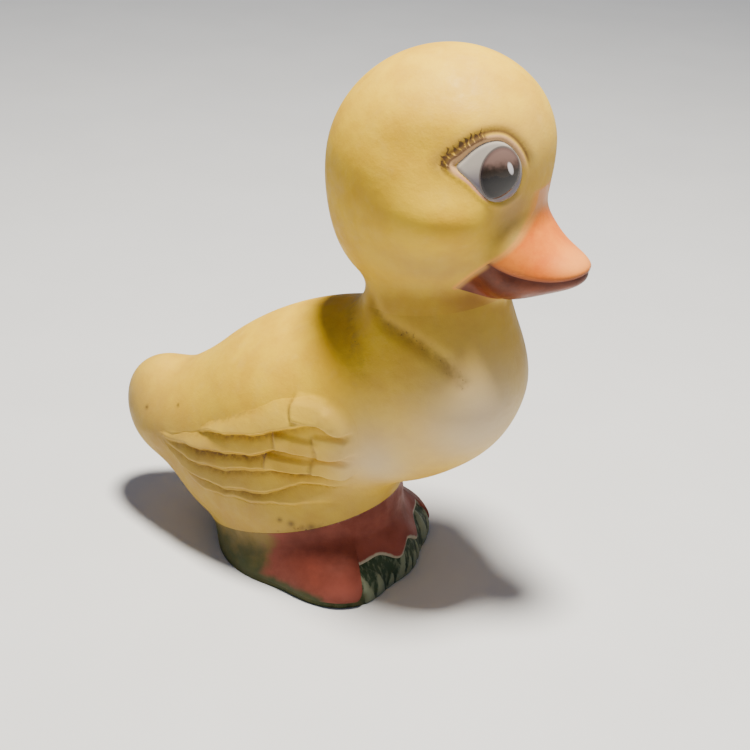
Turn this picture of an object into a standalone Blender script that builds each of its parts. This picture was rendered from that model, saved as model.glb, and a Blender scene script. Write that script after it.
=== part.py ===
"""A hollow soft-rubber duckling that stands on a small grass base and squeaks when it is squeezed.

The duckling is drawn as a few soft masses (ellipsoids) that melt into each other.  One smooth
figure comes from them, and the separate pieces are cut out of it: the head and the body are thin
shells, the base is a thick plug, and the wings, feet and eyes are raised pieces that lie on them.
A turned squeaker with a sprung reed sits in a bore in the base.

Frame: +X is the way the duckling faces, +Y its left side, +Z up.  The origin is on the ground,
under the middle of the whole toy.  The masses and cuts are worked out in millimetres, and every
finished piece is scaled to metres.
"""
import math

import bmesh
import bpy
import numpy as np
from mathutils import Matrix, Vector

MM = 0.001

# ---- driving sizes, in millimetres and degrees -------------------------------------------------
WALL = 2.4                    # thickness of the moulded rubber skin
GAP = 0.3                     # clearance kept between neighbouring pieces
SHIFT_X = 1.2                 # moves the figure so that the origin is under its middle
OUTER_GRAIN = 4.2             # mesh size of the outer skin
INNER_GRAIN = 6.5             # mesh size of the hollow inside
SMALL_GRAIN = 2.9             # mesh size of the bill and feet

NECK_POINT = (22.0, 0.0, 75.0)        # the head meets the body on this tilted plane
NECK_TILT = 10.6                      # it rises towards the chin
ANKLE_POINT = (-33.0, 0.0, 5.0)       # the body meets the base on this tilted plane
ANKLE_TILT = 18.3                     # it rises towards the toes
MOUTH_POINT = (46.0, 0.0, 86.8)       # the two halves of the bill meet on this plane
MOUTH_TILT = -8.0                     # it drops a little towards the tip
BASE_FLOOR = 10.0                     # the base is solid up to this height

FOOT_LIFT = 1.3                       # how far the painted feet stand proud of the base
FOOT_CLEARANCE = 0.55                 # kept between the feet and the curved base under them
FOOT_HEM = 1.0                        # the grass shows under the feet up to this height
HEEL_X = -14.0                        # the feet reach back to here
FOOT_PARTING = 0.2                    # half the gap between the two feet

EYE_BEARING = 39.5                    # from straight ahead, seen from the middle of the skull
EYE_RISE = 9.5
EYE_RADIUS = 6.2                      # round part of the white of the eye
EYE_REACH = 9.6                       # from the iris to the rear corner of the eye
EYE_CORNER = 169.0                    # direction of that corner, measured from forwards
IRIS_RADIUS = 4.6
EYE_LIFT = 0.9                        # thickness of the domed eye pieces

WING_CENTRE = (-1.0, 38.5)            # x and z of the round front of the wing
WING_RADIUS = 13.0
WING_REACH = 36.0                     # from there to the wing tip
WING_TIP = 196.0                      # direction of the wing tip, measured from forwards
WING_LIFT = 1.3                       # thickness of the raised wing

SQUEAKER_X = -7.0                     # the squeaker's axis
BORE_RADIUS = 8.8
FLANGE_SEAT = (10.3, 1.9)             # radius and depth of the recess for the flange
HOUSING_RADIUS = 8.5
FLANGE_RADIUS = 10.0
FLANGE_BOTTOM = 0.4
HOUSING_WALL = 1.2
HOUSING_TOP = 9.4
LEDGE_RADIUS = 6.2
LEDGE_HEIGHT = 4.2
PLATE_THICKNESS = 1.0
SLOT_WIDTH = 2.6
REED_WIDTH = 2.0
REED_LENGTH = 9.4
REED_ROOT = 1.2                       # the clamped end, behind the bending line
REED_THICKNESS = 0.3
REED_HINGE_X = -4.6                   # the bending line, from the squeaker's axis
CAP_THICKNESS = 1.2
CAP_PLUG = 1.2                        # how far the cap reaches into the housing
AIR_HOLES = (5, 0.9, 3.4)             # in the housing floor: count, radius, distance from the axis
SOUND_HOLES = (6, 1.0, 4.1)           # in the cap, likewise
HOLE_TURN = 0.3                       # of one step, so that no hole lies straight ahead
SLOT_START = 0.8                      # the air slot starts this far in front of the bending line
SLOT_MARGIN = 0.5                     # and ends this far beyond the tip of the reed
CLAMP_SIDE = 1.0                      # the clamp beside, behind, short of and above the reed
CLAMP_BACK = 0.6
CLAMP_SETBACK = 0.2
CLAMP_RISE = 1.4

# ---- the soft masses: centre, radii, pitch in degrees (nose up) --------------------------------
SKULL = {
    "cranium": ((20.7, 0, 106.0), (25.8, 22.5, 23.4), 35),
    "cheeks": ((23.0, 0, 94.5), (17.5, 20.0, 15.5), 0),
    "nape": ((13.0, 0, 91.0), (14.5, 14.0, 16.0), 0),
}
FRONT = {
    "neck": ((22.0, 0, 76.0), (15.5, 14.5, 24.0), 0),
    "breast": ((23.5, 0, 56.0), (20.5, 20.0, 19.5), 0),
}
BACK = {
    "body": ((-6.0, 0, 43.3), (39.0, 22.0, 21.0), 28),
    "rump": ((-34.0, 0, 27.0), (24.0, 15.5, 14.0), 0),
    "tail": ((-50.4, 0, 33.2), (7.2, 7.0, 6.6), 30),
    "stern": ((-25.0, 0, 17.8), (16.5, 15.5, 12.5), 20),
    "skirt": ((-7.5, 0, 18.0), (22.2, 21.0, 20.0), 0),
    "mound": ((-7.6, 0, 1.0), (22.8, 22.5, 13.0), 0),
    "instep": ((1.0, 0, 5.0), (16.5, 20.5, 11.0), 0),
    "bank": ((6.5, 0, 0.5), (13.0, 21.5, 7.5), 0),
    "belly": ((13.0, 0, 42.5), (27.0, 18.0, 16.5), 18),
}
TOES = {
    "right_toe": ((6.6, -15.6, 2.4), (9.4, 7.4, 6.2), 0),
    "middle_toe": ((9.0, 0, 4.2), (9.8, 7.0, 5.6), 0),
    "left_toe": ((6.6, 15.6, 2.4), (9.4, 7.4, 6.2), 0),
}
BILL = {
    "bill_root": ((38.5, 0, 90.0), (8.0, 12.8, 11.0), 0),
    "bill_blade": ((45.6, 0, 86.6), (10.6, 8.8, 4.9), 2),
}
SCALLOPS = {
    "right_web": ((19.5, -9.8, 0.5), (6.0, 5.4, 8.2), 0),
    "left_web": ((19.5, 9.8, 0.5), (6.0, 5.4, 8.2), 0),
}
BLEND = {
    "cheeks": 8, "nape": 8, "breast": 10, "rump": 10, "tail": 6, "stern": 8, "skirt": 12,
    "mound": 6, "instep": 5, "bank": 4, "belly": 5, "right_toe": 8, "middle_toe": 7, "left_toe": 8,
    "bill_blade": 8,
}
CREASE_BLEND = 5                      # breast into back: the diagonal crease beside the neck
JAW_BLEND = 3                         # head into neck: the crease under the jaw

# ---- paint: colour, roughness -------------------------------------------------------------------
YELLOW = ((0.80, 0.60, 0.22, 1.0), 0.5)
CREAM = ((0.82, 0.66, 0.36, 1.0), 0.5)
ORANGE = ((0.83, 0.33, 0.12, 1.0), 0.45)
BRICK = ((0.36, 0.10, 0.06, 1.0), 0.5)
GRASS = ((0.10, 0.14, 0.06, 1.0), 0.6)
WHITE = ((0.70, 0.70, 0.66, 1.0), 0.2)
DARK_IRIS = ((0.05, 0.03, 0.03, 1.0), 0.1)
IVORY_PLASTIC = ((0.75, 0.72, 0.62, 1.0), 0.35)
BRASS = ((0.80, 0.60, 0.30, 1.0), 0.3)


# ---- the figure as a distance field -------------------------------------------------------------
def ellipsoid_distance(points, mass):
    """Roughly how far each point is outside one tilted ellipsoid."""
    centre, radii, pitch = mass
    cosine, sine = math.cos(math.radians(pitch)), math.sin(math.radians(pitch))
    offset = points - np.array(centre, float)
    along = offset[..., 0] * cosine + offset[..., 2] * sine
    across = offset[..., 2] * cosine - offset[..., 0] * sine
    local = np.stack([along, offset[..., 1], across], -1)
    radii = np.array(radii, float)
    near = np.linalg.norm(local / radii, axis=-1)
    slope = np.linalg.norm(local / radii ** 2, axis=-1)
    return near * (near - 1.0) / np.maximum(slope, 1e-9)


def melt(first, second, blend):
    """Smooth union of two distances; blend is the width of the fillet."""
    share = np.clip(0.5 + 0.5 * (second - first) / blend, 0.0, 1.0)
    return second * (1.0 - share) + first * share - blend * share * (1.0 - share)


def group_distance(points, masses, start=None):
    """Melts a group of masses together, one after the other."""
    result = start
    for name, mass in masses.items():
        distance = ellipsoid_distance(points, mass)
        result = distance if result is None else melt(result, distance, BLEND[name])
    return result


def figure_distance(points):
    """The whole duckling without bill and toes."""
    trunk = melt(group_distance(points, FRONT), group_distance(points, BACK), CREASE_BLEND)
    return melt(trunk, group_distance(points, SKULL), JAW_BLEND)


def foot_distance(points):
    """The duckling with its toes."""
    return group_distance(points, TOES, start=figure_distance(points))


def bill_distance(points):
    return group_distance(points, BILL)


def slope_at(distance, points, step=0.05):
    """Gradient of a distance field by central differences."""
    columns = []
    for axis in range(3):
        shift = np.zeros(3)
        shift[axis] = step
        columns.append((distance(points + shift) - distance(points - shift)) / (2.0 * step))
    return np.stack(columns, -1)


# ---- mesh tools, in millimetres -----------------------------------------------------------------
def temporary_object(mesh):
    item = bpy.data.objects.new("temporary", mesh)
    bpy.context.scene.collection.objects.link(item)
    return item


def evaluated_copy(item):
    """The item's mesh with its modifiers applied; the item itself is removed."""
    graph = bpy.context.evaluated_depsgraph_get()
    mesh = bpy.data.meshes.new_from_object(item.evaluated_get(graph))
    bpy.data.objects.remove(item)
    return mesh


def mesh_from(bm):
    mesh = bpy.data.meshes.new("shape")
    bm.to_mesh(mesh)
    bm.free()
    return mesh


def melted_mesh(masses, distance, level, grain):
    """A closed mesh of the surface where the distance equals level."""
    bm = bmesh.new()
    for centre, radii, pitch in masses:
        size = Matrix.Diagonal([radius + level for radius in radii] + [1.0])
        turn = Matrix.Rotation(math.radians(-pitch), 4, "Y")
        bmesh.ops.create_icosphere(bm, subdivisions=4, radius=1.0,
                                   matrix=Matrix.Translation(centre) @ turn @ size)
    item = temporary_object(mesh_from(bm))
    remesh = item.modifiers.new("remesh", "REMESH")
    remesh.mode = "VOXEL"
    remesh.voxel_size = grain
    mesh = evaluated_copy(item)
    points = np.empty(len(mesh.vertices) * 3)
    mesh.vertices.foreach_get("co", points)
    points = points.reshape(-1, 3)
    for _ in range(12):
        slope = slope_at(distance, points)
        miss = distance(points) - level
        steepness = np.maximum((slope ** 2).sum(-1), 0.2)
        points = points - 0.7 * (miss / steepness)[:, None] * slope
    mesh.vertices.foreach_set("co", points.ravel())
    mesh.update()
    return mesh


def ellipsoid_mesh(mass):
    centre, radii, pitch = mass
    bm = bmesh.new()
    turn = Matrix.Rotation(math.radians(-pitch), 4, "Y")
    bmesh.ops.create_icosphere(bm, subdivisions=3, radius=1.0,
                               matrix=Matrix.Translation(centre) @ turn
                               @ Matrix.Diagonal([*radii, 1.0]))
    return mesh_from(bm)


def tilted_normal(tilt):
    """Upward normal of a plane that rises by tilt degrees towards +X."""
    angle = math.radians(tilt)
    return Vector((-math.sin(angle), 0.0, math.cos(angle)))


def sliced(mesh, point, normal):
    """A copy without what lies on the side that the normal points to, closed with a flat face."""
    bm = bmesh.new()
    bm.from_mesh(mesh)
    bmesh.ops.bisect_plane(bm, geom=bm.verts[:] + bm.edges[:] + bm.faces[:], dist=1e-5,
                           plane_co=Vector(point), plane_no=Vector(normal), clear_outer=True)
    rim = [edge for edge in bm.edges if edge.is_boundary]
    bmesh.ops.holes_fill(bm, edges=rim, sides=0)
    bmesh.ops.recalc_face_normals(bm, faces=bm.faces[:])
    return mesh_from(bm)


def combined(mesh, other, operation):
    """Boolean of two closed meshes."""
    item = temporary_object(mesh)
    tool = temporary_object(other)
    boolean = item.modifiers.new("boolean", "BOOLEAN")
    boolean.operation = operation
    boolean.solver = "EXACT"
    boolean.object = tool
    result = evaluated_copy(item)
    bpy.data.objects.remove(tool)
    return result


def turned_mesh(profile, segments=32, centre=(0.0, 0.0)):
    """A solid of revolution from (radius, height) points, closed by a flat disc at both ends."""
    bm = bmesh.new()
    rings = []
    for radius, height in profile:
        ring = []
        for index in range(segments):
            angle = 2.0 * math.pi * index / segments
            ring.append(bm.verts.new((centre[0] + radius * math.cos(angle),
                                      centre[1] + radius * math.sin(angle), height)))
        rings.append(ring)
    for lower, upper in zip(rings, rings[1:]):
        for index in range(segments):
            following = (index + 1) % segments
            bm.faces.new([lower[index], lower[following], upper[following], upper[index]])
    bm.faces.new(rings[0])
    bm.faces.new(rings[-1])
    bmesh.ops.recalc_face_normals(bm, faces=bm.faces[:])
    return mesh_from(bm)


def rod_mesh(radius, low, high, centre, segments=12):
    return turned_mesh([(radius, low), (radius, high)], segments, centre)


def box_mesh(low, high):
    size = [top - bottom for bottom, top in zip(low, high)]
    middle = [(top + bottom) / 2.0 for bottom, top in zip(low, high)]
    bm = bmesh.new()
    bmesh.ops.create_cube(bm, size=1.0,
                          matrix=Matrix.Translation(middle) @ Matrix.Diagonal([*size, 1.0]))
    return mesh_from(bm)


def teardrop(angle, radius, reach, tip_angle):
    """Polar outline of a circle drawn out to a point at tip_angle."""
    away = abs((angle - tip_angle + math.pi) % (2.0 * math.pi) - math.pi)
    touch = math.acos(radius / reach)
    return radius if away > touch else radius / math.cos(touch - away)


def draped_patch(origin, forward, up, outline, hole, lift, rings, spokes):
    """A thin solid that lies on the figure and follows it.

    It is drawn in the plane of forward and up around the origin, between the polar outlines hole
    and outline, and pushed inwards until it touches.  lift(share) is its thickness, where share
    runs from 0 at the hole to 1 at the rim.
    """
    inwards = -Vector(forward).cross(Vector(up)).normalized()
    if inwards.dot(Vector(slope_at(figure_distance, np.array([origin]))[0])) > 0.0:
        inwards = -inwards
    forward, up, inwards = (np.array(axis, float) for axis in (forward, up, inwards))

    def landed(radius, angle, level):
        start = np.array(origin, float) - 8.0 * inwards
        start = start + radius * (math.cos(angle) * forward + math.sin(angle) * up)
        travel = 0.0
        for _ in range(60):
            travel += 0.8 * (figure_distance(start + travel * inwards) - level)
        return start + travel * inwards

    bm = bmesh.new()
    layers = []
    for thick in (False, True):
        grid = []
        for ring in range(rings + 1):
            share = ring / rings
            if ring == 0 and hole is None:
                height = GAP + thick * lift(0.0)
                grid.append([bm.verts.new(landed(0.0, 0.0, height))])
                continue
            row = []
            for spoke in range(spokes):
                angle = 2.0 * math.pi * spoke / spokes
                inner = hole(angle) if hole else 0.0
                radius = inner + share * (outline(angle) - inner)
                height = GAP + thick * lift(share)
                row.append(bm.verts.new(landed(radius, angle, height)))
            grid.append(row)
        layers.append(grid)
    strips = [zip(grid, grid[1:]) for grid in layers]
    bands = [pair for strip in strips for pair in strip] + [(layers[0][-1], layers[1][-1])]
    if hole:
        bands.append((layers[0][0], layers[1][0]))
    for lower, upper in bands:
        for spoke in range(spokes):
            following = (spoke + 1) % spokes
            corners = [lower[spoke % len(lower)], lower[following % len(lower)],
                       upper[following % len(upper)], upper[spoke % len(upper)]]
            bm.faces.new(list(dict.fromkeys(corners)))
    bmesh.ops.recalc_face_normals(bm, faces=bm.faces[:])
    return mesh_from(bm)


# ---- finished pieces ----------------------------------------------------------------------------
def paint(name, finish, metallic=0.0):
    colour, roughness = finish
    material = bpy.data.materials.new(name)
    material.use_nodes = True
    shader = material.node_tree.nodes["Principled BSDF"]
    shader.inputs["Base Color"].default_value = colour
    shader.inputs["Roughness"].default_value = roughness
    shader.inputs["Metallic"].default_value = metallic
    material.diffuse_color = colour
    return material


def finish(name, mesh, material, pivot=(0.0, 0.0, 0.0), parent=None):
    """Scales a mesh to metres and makes it a piece whose origin is at pivot, in millimetres."""
    mesh.transform(Matrix.Scale(MM, 4) @ Matrix.Translation(-Vector(pivot)))
    mesh.name = name
    mesh.materials.clear()
    mesh.materials.append(material)
    mesh.shade_smooth()
    mesh.set_sharp_from_angle(angle=math.radians(35.0))
    item = bpy.data.objects.new(name, mesh)
    bpy.context.scene.collection.objects.link(item)
    item.location = Vector(pivot) * MM
    item.parent = parent
    return item


def make_shells(toy):
    """Head, body and base: one figure cut at the neck and at the ankles, and hollowed."""
    masses = [*SKULL.values(), *FRONT.values(), *BACK.values()]
    figure = melted_mesh(masses, figure_distance, 0.0, OUTER_GRAIN)
    hollow = melted_mesh(masses, figure_distance, -WALL, INNER_GRAIN)
    hollow = sliced(hollow, (0.0, 0.0, BASE_FLOOR), (0.0, 0.0, -1.0))
    neck, ankle = tilted_normal(NECK_TILT), tilted_normal(ANKLE_TILT)
    half_gap = GAP / 2.0

    head = sliced(figure, Vector(NECK_POINT) + neck * half_gap, -neck)
    head = combined(head, hollow.copy(), "DIFFERENCE")
    finish("head_shell", head, paint("yellow_rubber", YELLOW), parent=toy)

    body = sliced(figure, Vector(NECK_POINT) - neck * half_gap, neck)
    body = sliced(body, Vector(ANKLE_POINT) + ankle * half_gap, -ankle)
    body = combined(body, hollow.copy(), "DIFFERENCE")
    finish("body_shell", body, paint("cream_rubber", CREAM), parent=toy)

    base = sliced(figure, Vector(ANKLE_POINT) - ankle * half_gap, ankle)
    base = sliced(base, (0.0, 0.0, 0.0), (0.0, 0.0, -1.0))
    base = combined(base, hollow, "DIFFERENCE")
    seat_radius, seat_depth = FLANGE_SEAT
    seat = turned_mesh([(seat_radius, -1.0), (seat_radius, seat_depth), (BORE_RADIUS, seat_depth),
                        (BORE_RADIUS, BASE_FLOOR + 4.0)], centre=(SQUEAKER_X, 0.0))
    base = combined(base, seat, "DIFFERENCE")
    finish("grass_base", base, paint("grass_green", GRASS), parent=toy)


def make_feet(toy):
    """Two webbed feet, a raised layer over the front of the base with toes and scalloped webs."""
    masses = [*BACK.values(), *TOES.values()]
    ankle = tilted_normal(ANKLE_TILT)
    outer = melted_mesh(masses, foot_distance, FOOT_LIFT, SMALL_GRAIN)
    outer = sliced(outer, Vector(ANKLE_POINT) - ankle * GAP / 2.0, ankle)
    outer = sliced(outer, (HEEL_X, 0.0, 0.0), (-1.0, 0.0, 0.0))
    outer = sliced(outer, (0.0, 0.0, FOOT_HEM), (0.0, 0.0, -1.0))
    under = melted_mesh(BACK.values(), figure_distance, FOOT_CLEARANCE, SMALL_GRAIN)
    outer = combined(outer, under, "DIFFERENCE")
    for scallop in SCALLOPS.values():
        outer = combined(outer, ellipsoid_mesh(scallop), "DIFFERENCE")
    brick = paint("brick_red", BRICK)
    for name, side in (("right_foot", -1.0), ("left_foot", 1.0)):
        half = sliced(outer, (0.0, side * FOOT_PARTING, 0.0), (0.0, -side, 0.0))
        finish(name, half, brick, parent=toy)


def make_bill(toy):
    """Upper and lower bill, parted at the mouth and hollowed at the back to fit the face."""
    bill = melted_mesh(BILL.values(), bill_distance, 0.0, SMALL_GRAIN)
    face = melted_mesh([*SKULL.values(), *FRONT.values()], figure_distance, GAP, SMALL_GRAIN)
    bill = combined(bill, face, "DIFFERENCE")
    mouth = tilted_normal(MOUTH_TILT)
    orange = paint("bill_orange", ORANGE)
    for name, side in (("bill_upper", 1.0), ("bill_lower", -1.0)):
        half = sliced(bill, Vector(MOUTH_POINT) + mouth * side * GAP / 2.0, -mouth * side)
        finish(name, half, orange, parent=toy)


def surface_point(start, direction):
    """Where a ray from inside the figure comes out of it."""
    travel = 0.0
    for _ in range(80):
        travel -= 0.8 * figure_distance(np.array(start) + travel * np.array(direction))
    return np.array(start) + travel * np.array(direction)


def make_eyes(toy):
    """A teardrop white with the iris set in it, on each side of the head."""
    white, dark = paint("eye_white", WHITE), paint("iris_dark", DARK_IRIS)
    bearing, rise = math.radians(EYE_BEARING), math.radians(EYE_RISE)
    for name, side in (("right", -1.0), ("left", 1.0)):
        outwards = (math.cos(bearing) * math.cos(rise), side * math.sin(bearing) * math.cos(rise),
                    math.sin(rise))
        centre = surface_point(SKULL["cranium"][0], outwards)
        normal = Vector(slope_at(figure_distance, centre[None])[0]).normalized()
        forward = Vector((0.0, 0.0, 1.0)).cross(normal).normalized() * -side
        up = forward.cross(normal).normalized() * side
        corner = math.radians(EYE_CORNER)
        sclera = draped_patch(
            centre, forward, up,
            outline=lambda angle: teardrop(angle, EYE_RADIUS, EYE_REACH, corner),
            hole=lambda angle: IRIS_RADIUS + GAP,
            lift=lambda share: EYE_LIFT * (1.0 - 0.55 * share), rings=2, spokes=24)
        finish(name + "_eye_white", sclera, white, parent=toy)
        iris = draped_patch(
            centre, forward, up, outline=lambda angle: IRIS_RADIUS, hole=None,
            lift=lambda share: EYE_LIFT * (1.3 - 0.3 * share ** 2), rings=3, spokes=20)
        finish(name + "_iris", iris, dark, parent=toy)


def make_wings(toy):
    """A folded wing on each flank: a raised teardrop, round in front and pointed behind."""
    cream = paint("wing_cream", CREAM)
    tip = math.radians(WING_TIP)
    for name, side in (("right_wing", -1.0), ("left_wing", 1.0)):
        x, z = WING_CENTRE
        centre = surface_point((x, 0.0, z), (0.0, side, 0.0))
        wing = draped_patch(
            centre, (1.0, 0.0, 0.0), (0.0, 0.0, 1.0),
            outline=lambda angle: teardrop(angle, WING_RADIUS, WING_REACH, tip), hole=None,
            lift=lambda share: WING_LIFT * (1.0 - 0.45 * share ** 3), rings=4, spokes=26)
        finish(name, wing, cream, parent=toy)


def pierced(mesh, holes, low, high):
    """A ring of round holes through a disc of the squeaker."""
    count, radius, ring = holes
    for index in range(count):
        angle = 2.0 * math.pi * (index + HOLE_TURN) / count
        centre = (SQUEAKER_X + ring * math.cos(angle), ring * math.sin(angle))
        mesh = combined(mesh, rod_mesh(radius, low - 1.0, high + 1.0, centre), "DIFFERENCE")
    return mesh


def make_squeaker(toy):
    """Housing, reed plate, sprung reed, clamp and cap, stacked on one upright axis."""
    ivory, brass = paint("squeaker_ivory", IVORY_PLASTIC), paint("squeaker_brass", BRASS, 1.0)
    axis = (SQUEAKER_X, 0.0)
    inside = HOUSING_RADIUS - HOUSING_WALL
    floor = FLANGE_BOTTOM + HOUSING_WALL
    housing = turned_mesh([
        (FLANGE_RADIUS, FLANGE_BOTTOM), (FLANGE_RADIUS, floor), (HOUSING_RADIUS, floor),
        (HOUSING_RADIUS, HOUSING_TOP), (inside, HOUSING_TOP), (inside, LEDGE_HEIGHT),
        (LEDGE_RADIUS, LEDGE_HEIGHT), (LEDGE_RADIUS, floor)], centre=axis)
    housing = pierced(housing, AIR_HOLES, FLANGE_BOTTOM, floor)
    finish("squeaker_housing", housing, ivory, parent=toy)

    plate_low = LEDGE_HEIGHT + GAP
    plate_high = plate_low + PLATE_THICKNESS
    plate = rod_mesh(inside - GAP, plate_low, plate_high, axis, segments=28)
    hinge_x = SQUEAKER_X + REED_HINGE_X
    slot = box_mesh((hinge_x + SLOT_START, -SLOT_WIDTH / 2.0, plate_low - 1.0),
                    (hinge_x + REED_LENGTH + SLOT_MARGIN, SLOT_WIDTH / 2.0, plate_high + 1.0))
    plate = combined(plate, slot, "DIFFERENCE")
    finish("squeaker_reed_plate", plate, ivory, parent=toy)

    reed_low = plate_high + GAP
    reed_high = reed_low + REED_THICKNESS
    reed = box_mesh((hinge_x - REED_ROOT, -REED_WIDTH / 2.0, reed_low),
                    (hinge_x + REED_LENGTH, REED_WIDTH / 2.0, reed_high))
    finish("squeaker_reed", reed, brass, pivot=(hinge_x, 0.0, (reed_low + reed_high) / 2.0),
           parent=toy)

    clamp_half = REED_WIDTH / 2.0 + CLAMP_SIDE
    clamp = box_mesh((hinge_x - REED_ROOT - CLAMP_BACK, -clamp_half, reed_low),
                     (hinge_x - CLAMP_SETBACK, clamp_half, reed_high + CLAMP_RISE))
    channel = box_mesh((hinge_x - REED_ROOT - GAP, -REED_WIDTH / 2.0 - GAP, reed_low - 1.0),
                       (hinge_x + 1.0, REED_WIDTH / 2.0 + GAP, reed_high + GAP))
    clamp = combined(clamp, channel, "DIFFERENCE")
    finish("squeaker_reed_clamp", clamp, ivory, parent=toy)

    cap_low = HOUSING_TOP + GAP
    cap = turned_mesh([(inside - GAP, cap_low - CAP_PLUG), (inside - GAP, cap_low),
                       (HOUSING_RADIUS, cap_low), (HOUSING_RADIUS, cap_low + CAP_THICKNESS)],
                      centre=axis)
    cap = pierced(cap, SOUND_HOLES, cap_low - CAP_PLUG, cap_low + CAP_THICKNESS)
    finish("squeaker_cap", cap, ivory, parent=toy)


def main():
    for item in list(bpy.data.objects):
        bpy.data.objects.remove(item)
    toy = bpy.data.objects.new("duckling", None)
    bpy.context.scene.collection.objects.link(toy)
    toy.location = (SHIFT_X * MM, 0.0, 0.0)
    make_shells(toy)
    make_feet(toy)
    make_bill(toy)
    make_eyes(toy)
    make_wings(toy)
    make_squeaker(toy)
    bpy.context.view_layer.update()


main()
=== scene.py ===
"""The looks of a hand-painted rubber duckling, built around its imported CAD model.

The figure is the same set of soft masses as in the CAD model, drawn here with a fine surface, and
every visible CAD shell is replaced by its fine piece.  Lengths are in millimetres until a piece is
finished, and then in metres.
"""
import math

import bmesh
import bpy
import numpy as np
from mathutils import Matrix, Vector


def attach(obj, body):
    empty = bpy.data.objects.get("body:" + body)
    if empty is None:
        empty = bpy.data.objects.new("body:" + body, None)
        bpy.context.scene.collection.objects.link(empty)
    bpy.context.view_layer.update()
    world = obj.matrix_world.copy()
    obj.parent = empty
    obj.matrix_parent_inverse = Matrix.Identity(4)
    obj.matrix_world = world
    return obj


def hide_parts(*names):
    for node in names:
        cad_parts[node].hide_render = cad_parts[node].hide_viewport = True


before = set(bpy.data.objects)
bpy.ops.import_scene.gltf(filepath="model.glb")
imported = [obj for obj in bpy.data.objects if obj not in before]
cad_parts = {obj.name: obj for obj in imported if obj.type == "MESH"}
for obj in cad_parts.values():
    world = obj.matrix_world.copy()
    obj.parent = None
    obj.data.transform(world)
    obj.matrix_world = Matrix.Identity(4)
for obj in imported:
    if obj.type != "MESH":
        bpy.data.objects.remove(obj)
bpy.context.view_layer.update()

MM = 0.001
SHIFT_X = 1.2                     # the CAD origin lies under the middle of the whole toy
FINE = 0.5       # mesh size of the skin
HOLLOW_GRAIN = 2.5                # mesh size of the hollow inside it

# ---- planes and sizes shared with the CAD model ------------------------------
NECK_POINT, NECK_TILT = (22.0, 0.0, 75.0), 10.6
ANKLE_POINT, ANKLE_TILT = (-33.0, 0.0, 5.0), 18.3
WALL = 2.4
BASE_FLOOR = 10.0
SQUEAKER_X = -7.0
BORE_RADIUS = 8.8
FLANGE_SEAT = (10.3, 1.9)

# ---- the soft masses: centre, radii, pitch in degrees (nose up) --------------
SKULL = {
    "cranium": ((20.7, 0, 106.0), (25.8, 22.5, 23.4), 35),
    "cheeks": ((23.0, 0, 94.5), (17.5, 20.0, 15.5), 0),
    "nape": ((13.0, 0, 91.0), (14.5, 14.0, 16.0), 0),
}
FRONT = {
    "neck": ((22.0, 0, 76.0), (15.5, 14.5, 24.0), 0),
    "breast": ((23.5, 0, 56.0), (20.5, 20.0, 19.5), 0),
}
BACK = {
    "body": ((-6.0, 0, 43.3), (39.0, 22.0, 21.0), 28),
    "rump": ((-34.0, 0, 27.0), (24.0, 15.5, 14.0), 0),
    "tail": ((-50.4, 0, 33.2), (7.2, 7.0, 6.6), 30),
    "stern": ((-25.0, 0, 17.8), (16.5, 15.5, 12.5), 20),
    "skirt": ((-7.5, 0, 18.0), (22.2, 21.0, 20.0), 0),
    "mound": ((-7.6, 0, 1.0), (22.8, 22.5, 13.0), 0),
    "instep": ((1.0, 0, 5.0), (16.5, 20.5, 11.0), 0),
    "bank": ((6.5, 0, 0.5), (13.0, 21.5, 7.5), 0),
    "belly": ((13.0, 0, 42.5), (27.0, 18.0, 16.5), 18),
}
TOES = {
    "right_toe": ((6.6, -15.6, 2.4), (9.4, 7.4, 6.2), 0),
    "middle_toe": ((9.0, 0, 4.2), (9.8, 7.0, 5.6), 0),
    "left_toe": ((6.6, 15.6, 2.4), (9.4, 7.4, 6.2), 0),
}
BILL = {
    "bill_root": ((38.5, 0, 90.0), (8.0, 12.8, 11.0), 0),
    "bill_blade": ((45.6, 0, 86.6), (10.6, 8.8, 4.9), 2),
}
BLEND = {
    "cheeks": 8, "nape": 8, "breast": 10, "rump": 10, "tail": 6, "stern": 8, "skirt": 12,
    "mound": 6, "instep": 5, "bank": 4, "belly": 5, "right_toe": 8, "middle_toe": 7, "left_toe": 8,
    "bill_blade": 8,
}
CREASE_BLEND = 5
JAW_BLEND = 3
BILL_BLEND = 2.5


# ---- distance fields ---------------------------------------------------------
def ellipsoid_distance(points, mass):
    """Roughly how far each point is outside one tilted ellipsoid."""
    centre, radii, pitch = mass
    cosine, sine = math.cos(math.radians(pitch)), math.sin(math.radians(pitch))
    offset = points - np.array(centre, float)
    along = offset[..., 0] * cosine + offset[..., 2] * sine
    across = offset[..., 2] * cosine - offset[..., 0] * sine
    local = np.stack([along, offset[..., 1], across], -1)
    radii = np.array(radii, float)
    near = np.linalg.norm(local / radii, axis=-1)
    slope = np.linalg.norm(local / radii ** 2, axis=-1)
    return near * (near - 1.0) / np.maximum(slope, 1e-9)


def melt(first, second, blend):
    """Smooth union of two distances; blend is the width of the fillet."""
    share = np.clip(0.5 + 0.5 * (second - first) / blend, 0.0, 1.0)
    return second * (1.0 - share) + first * share - blend * share * (1.0 - share)


def group_distance(points, masses, start=None):
    """Melts a group of masses together, one after the other."""
    result = start
    for name, mass in masses.items():
        distance = ellipsoid_distance(points, mass)
        result = distance if result is None else melt(result, distance, BLEND[name])
    return result


def figure_distance(points):
    trunk = melt(group_distance(points, FRONT), group_distance(points, BACK), CREASE_BLEND)
    return melt(trunk, group_distance(points, SKULL), JAW_BLEND)


def bill_distance(points):
    return group_distance(points, BILL)


def slope_at(distance, points, step=0.05):
    """Gradient of a distance field by central differences."""
    columns = []
    for axis in range(3):
        shift = np.zeros(3)
        shift[axis] = step
        columns.append((distance(points + shift) - distance(points - shift)) / (2.0 * step))
    return np.stack(columns, -1)


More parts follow.
